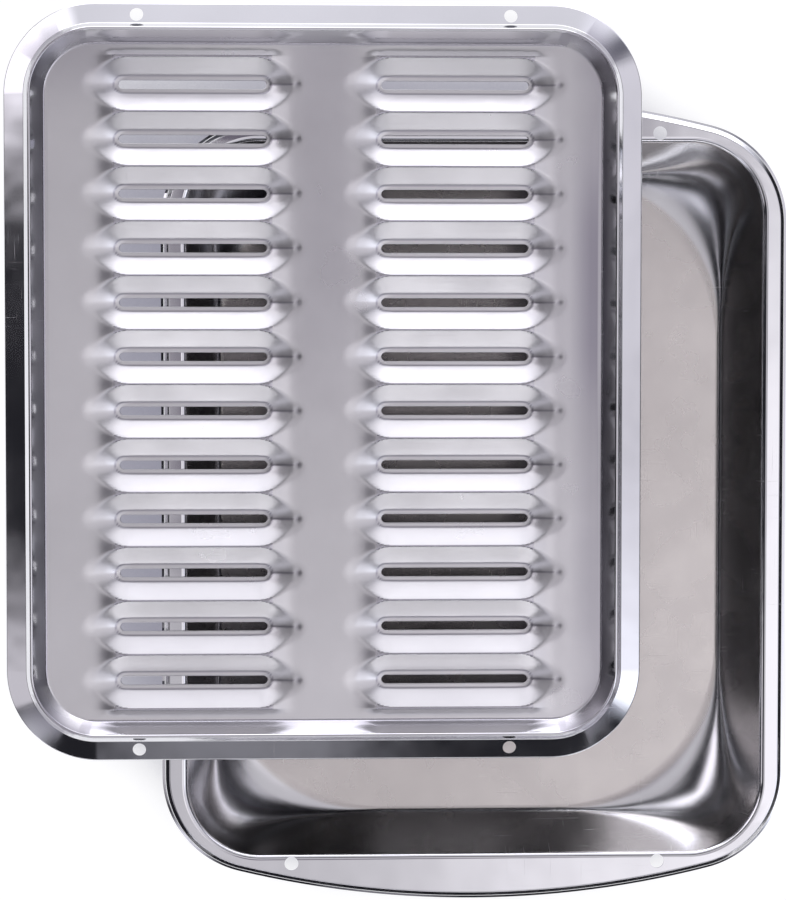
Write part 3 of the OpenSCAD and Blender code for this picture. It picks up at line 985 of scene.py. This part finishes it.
# %% [markdown]
# ## Where the plating is satin, painted with shade, or dull
# The shares are worked out from where each point lies: low in the pan, on the insert's tray, or on the
# inner walls, which use has dulled halfway; the insert's inner walls also carry painted shade. A point
# whose normal looks down belongs to the under side.
# Painted maps would do the same, but a share for each point needs no map and no unwrapping.

# %% Helpers for shares
def set_share(obj, name, values):
    """A value from 0 to 1 for each point, which the material reads by its name."""
    layer = obj.data.attributes.new(name, "FLOAT", "POINT")
    layer.data.foreach_set("value", np.asarray(values, dtype=np.float32))
    print(obj.name, name, "mean", round(float(np.mean(values)), 3))


def points_of(obj):
    flat = np.empty(len(obj.data.vertices) * 3, dtype=np.float32)
    obj.data.vertices.foreach_get("co", flat)
    return flat.reshape(-1, 3) / MM


def normals_of(obj):
    flat = np.empty(len(obj.data.vertices) * 3, dtype=np.float32)
    obj.data.vertex_normals.foreach_get("vector", flat)
    return flat.reshape(-1, 3)


def under_share(obj):
    """1 where the surface looks down, and 0 where it looks up or sideways."""
    return eased(-normals_of(obj)[:, 2] / 0.3)


# %% Shares on the pan
pan_wall_satin = 0.6
floor_fade = 1.5
lip_margin, lip_fade = 1.0, 2

pan_at = points_of(pan)
on_floor = eased((sheet + floor_fade - pan_at[:, 2]) / floor_fade)
in_pan = eased((opening_x + lip_margin - np.abs(pan_at[:, 0])) / lip_fade)
in_pan *= eased((opening_y + lip_margin - np.abs(pan_at[:, 1])) / lip_fade)
set_share(pan, "satin", np.maximum(on_floor, in_pan * pan_wall_satin))
set_share(pan, "under", under_share(pan))

# %% Shares on the insert
bead_margin = 0.6
tray_edge = 1.2
tray_height = 1.5
insert_wall_satin = 0.5
# Share of painted shade on the insert's inner walls.
insert_wall_painted_shade = 0.55


def inside_rim(at):
    """1 on the inner side of the insert's bead, 0 on its outer side and flange."""
    reach = np.minimum(insert_width / 2 - np.abs(at[:, 0]), insert_length / 2 - np.abs(at[:, 1]))
    return reach > insert_flange + bead_slope + bead_top + bead_margin


insert_at = points_of(insert) - [insert_mid[0], insert_mid[1], insert_z]
at_x, at_y, at_z = insert_at.T
inside = (np.abs(at_x) < tray_x + tray_edge) & (np.abs(at_y) < tray_y + tray_edge)
on_tray = inside & (at_z < tray_height)
on_wall = inside_rim(insert_at) & ~on_tray
# Painted shade on the tray: the creases and the darker patches, taken together.
painted_shade_share = np.maximum(painted_fold_shade(at_x, at_y), painted_shade_patches(at_x, at_y))
set_share(insert, "satin", np.where(on_tray, 1.0, insert_wall_satin * on_wall))
# The fold share carries all of the insert's painted shade.
set_share(insert, "fold", np.where(on_tray, painted_shade_share, insert_wall_painted_shade * on_wall))
set_share(insert, "under", under_share(insert))

# %% [markdown]
# ## The floor under the pan
# The pan stands on a plain white sweep. It stays white to the camera and in the plating, and close to
# the pieces it turns to a soft purple grey, because they keep the light off it. How sheltered a place
# is comes from ambient occlusion, and a little diffuse white is mixed in to catch the true shadow.

# %% White floor
floor_size = 8
lit_floor = (0.95, 0.95, 0.955, 1)
sheltered_floor = (0.27, 0.265, 0.33, 1)
plain_white = (0.8, 0.8, 0.82, 1)
faint_white = (0.18, 0.18, 0.2, 1)
shelter_reach = 0.09


def diffuse(tree, colour):
    node = tree.nodes.new("ShaderNodeBsdfDiffuse")
    node.inputs["Color"].default_value = colour
    return node.outputs[0]


def white_floor_look():
    """Seen or mirrored, the floor glows by how open it lies; for other light it is a plain white."""
    material = bpy.data.materials.new("white_floor_look")
    material.use_nodes = True
    tree = material.node_tree
    tree.nodes.clear()
    shelter = tree.nodes.new("ShaderNodeAmbientOcclusion")
    shelter.inputs["Distance"].default_value = shelter_reach
    open_share = ranged(tree, shelter.outputs["AO"], 0.15, 0.70)
    glow = tree.nodes.new("ShaderNodeEmission")
    tree.links.new(between_colours(tree, open_share, sheltered_floor, lit_floor), glow.inputs["Color"])
    seen = tree.nodes.new("ShaderNodeAddShader")
    tree.links.new(diffuse(tree, faint_white), seen.inputs[0])
    tree.links.new(glow.outputs[0], seen.inputs[1])
    path = tree.nodes.new("ShaderNodeLightPath").outputs
    rays = math_node(tree, "ADD", path["Is Camera Ray"], path["Is Glossy Ray"])
    rays = math_node(tree, "ADD", rays, path["Is Transmission Ray"])
    rays = math_node(tree, "MINIMUM", rays, 1.0)
    choose = tree.nodes.new("ShaderNodeMixShader")
    tree.links.new(rays, choose.inputs[0])
    tree.links.new(diffuse(tree, plain_white), choose.inputs[1])
    tree.links.new(seen.outputs[0], choose.inputs[2])
    out = tree.nodes.new("ShaderNodeOutputMaterial")
    tree.links.new(choose.outputs[0], out.inputs["Surface"])
    return material


bpy.ops.mesh.primitive_plane_add(size=floor_size, location=(0, 0, 0))
floor = bpy.context.object
floor.name = "white_floor"
floor.data.materials.append(white_floor_look())
print("white floor of", floor_size, "by", floor_size, "metres")

# %% [markdown]
# ## The room that the plating mirrors
# Bright metal has no look of its own: it shows the room. The strongest panels stand low on the far
# side, a wide dim one hangs overhead, a few narrow ones stand low on the near side, and what is
# between them is dark. The satin facets of the insert's floor show one panel each, so the panels are
# placed by the slopes that should be bright. Lamps could do it, but a room that is drawn by direction in
# the world's nodes adds no objects, and looks the same from every place on the pan. Each direction is
# first laid out flat, with straight up in the middle and the horizon on a circle of radius 1. There a
# mirror of slope s, seen from above, shows the place at the distance s, and each panel is a soft-edged
# rectangle.

# %% Panels of light in the room
# Each panel has its middle in x and y, its half width and half height in the flat layout, the softness
# of its edge, its strength and its tint. The last one takes light away: it is the camera's own dark
# shape in the overhead light.
PANELS = {
    "low on the far side, left": (-0.13, 0.86, 0.22, 0.20, 0.14, 2.90, (0.98, 0.97, 1.05)),
    "low on the far side, right": (0.33, 0.80, 0.23, 0.16, 0.14, 2.70, (0.99, 0.98, 1.03)),
    "wide band on the far side": (0.10, 0.50, 0.45, 0.12, 0.10, 0.78, (0.98, 0.97, 1.05)),
    "low in the far right corner": (0.60, 0.60, 0.14, 0.20, 0.20, 0.67, (0.96, 0.96, 1.08)),
    "wide overhead": (0.20, -0.01, 0.36, 0.27, 0.10, 0.565, (1.00, 0.97, 1.03)),
    "brighter part of the overhead": (0.11, -0.06, 0.07, 0.09, 0.12, 0.50, (1.00, 0.98, 1.02)),
    "wide band on the near side": (0.02, -0.34, 0.34, 0.07, 0.10, 0.60, (0.97, 0.96, 1.07)),
    "slit on the near side": (-0.01, -0.50, 0.03, 0.06, 0.04, 0.22, (0.97, 0.96, 1.07)),
    "right, toward the near side": (0.42, -0.20, 0.16, 0.12, 0.12, 0.85, (0.92, 0.97, 1.11)),
    "right, toward the far side": (0.45, 0.22, 0.20, 0.30, 0.10, 0.16, (0.94, 0.93, 1.13)),
    "left, toward the far side": (-0.47, 0.225, 0.13, 0.18, 0.05, 1.30, (1.00, 0.96, 1.04)),
    "far left corner": (-0.30, 0.46, 0.12, 0.10, 0.10, 0.80, (1.00, 0.97, 1.03)),
    "left, toward the near side": (-0.50, -0.17, 0.12, 0.105, 0.03, 0.60, (1.00, 0.96, 1.04)),
    "near left corner": (-0.34, -0.36, 0.10, 0.09, 0.09, 0.45, (0.97, 0.96, 1.07)),
    "low on the near side": (-0.03, -0.665, 0.32, 0.07, 0.05, 1.65, (0.99, 0.98, 1.03)),
    "low on the near side, right": (0.42, -0.58, 0.13, 0.07, 0.06, 1.80, (0.97, 0.97, 1.06)),
    "low on the near side, left": (-0.43, -0.56, 0.10, 0.07, 0.06, 1.40, (0.97, 0.97, 1.06)),
    "dark shape of the camera": (0.022, 0.012, 0.042, 0.055, 0.05, -0.50, (1.00, 1.00, 1.00)),
}
print(len(PANELS), "panels in the room")

# %% World
ambient = (0.016, 0.016, 0.02)
black = (0.0, 0.0, 0.0)
least_upness = 0.05
world = bpy.data.worlds.new("studio")
bpy.context.scene.world = world
world.use_nodes = True
room = world.node_tree
room.nodes.clear()
direction = room.nodes.new("ShaderNodeTexCoord").outputs["Generated"]
split = room.nodes.new("ShaderNodeSeparateXYZ")
room.links.new(direction, split.inputs[0])
upness = math_node(room, "MAXIMUM", math_node(room, "ADD", split.outputs["Z"], 1.0), least_upness)
flat_x = math_node(room, "DIVIDE", split.outputs["X"], upness)
flat_y = math_node(room, "DIVIDE", split.outputs["Y"], upness)


def panel(mid_x, mid_y, half_x, half_y, soft, strength, tint):
    """A soft-edged rectangle of light in the flat layout of directions."""
    shares = []
    for flat, mid, half in ((flat_x, mid_x, half_x), (flat_y, mid_y, half_y)):
        off = math_node(room, "ABSOLUTE", math_node(room, "SUBTRACT", flat, mid))
        shares.append(ranged(room, off, half - soft / 2, half + soft / 2, 1.0, 0.0))
    share = math_node(room, "MULTIPLY", *shares)
    return vector_node(room, "SCALE", tint, math_node(room, "MULTIPLY", share, strength))


light = ambient
for sizes in PANELS.values():
    light = vector_node(room, "ADD", panel(*sizes), light)
light = vector_node(room, "MAXIMUM", light, black)
studio = room.nodes.new("ShaderNodeBackground")
room.links.new(light, studio.inputs["Color"])
white = room.nodes.new("ShaderNodeBackground")
white.inputs["Color"].default_value = (1, 1, 1, 1)
path = room.nodes.new("ShaderNodeLightPath")
choose = room.nodes.new("ShaderNodeMixShader")
room.links.new(path.outputs["Is Camera Ray"], choose.inputs[0])
room.links.new(studio.outputs[0], choose.inputs[1])
room.links.new(white.outputs[0], choose.inputs[2])
room.links.new(choose.outputs[0], room.nodes.new("ShaderNodeOutputWorld").inputs["Surface"])
print("the world has", len(room.nodes), "nodes")

# %% [markdown]
# ## The camera
# The photograph looks almost straight down from about one and a half metres, with a long lens. Its
# place and turn were found by laying the outlines of both pieces over those in the photograph.

# %% Camera
camera_at = (-0.1005, 0.0897, 1.4501)
camera_turn = (-2.598, -2.355, 0.014)
focal_length = 109.36
sensor_width = 36
lens = bpy.data.cameras.new("camera")
lens.lens = focal_length
lens.sensor_width = sensor_width
lens.clip_end = 20
camera = bpy.data.objects.new("camera", lens)
camera.location = camera_at
camera.rotation_euler = [math.radians(t) for t in camera_turn]
bpy.context.scene.collection.objects.link(camera)
bpy.context.scene.camera = camera
bpy.context.scene.view_settings.view_transform = "Standard"
print("camera at", camera_at, "with a lens of", focal_length, "mm")
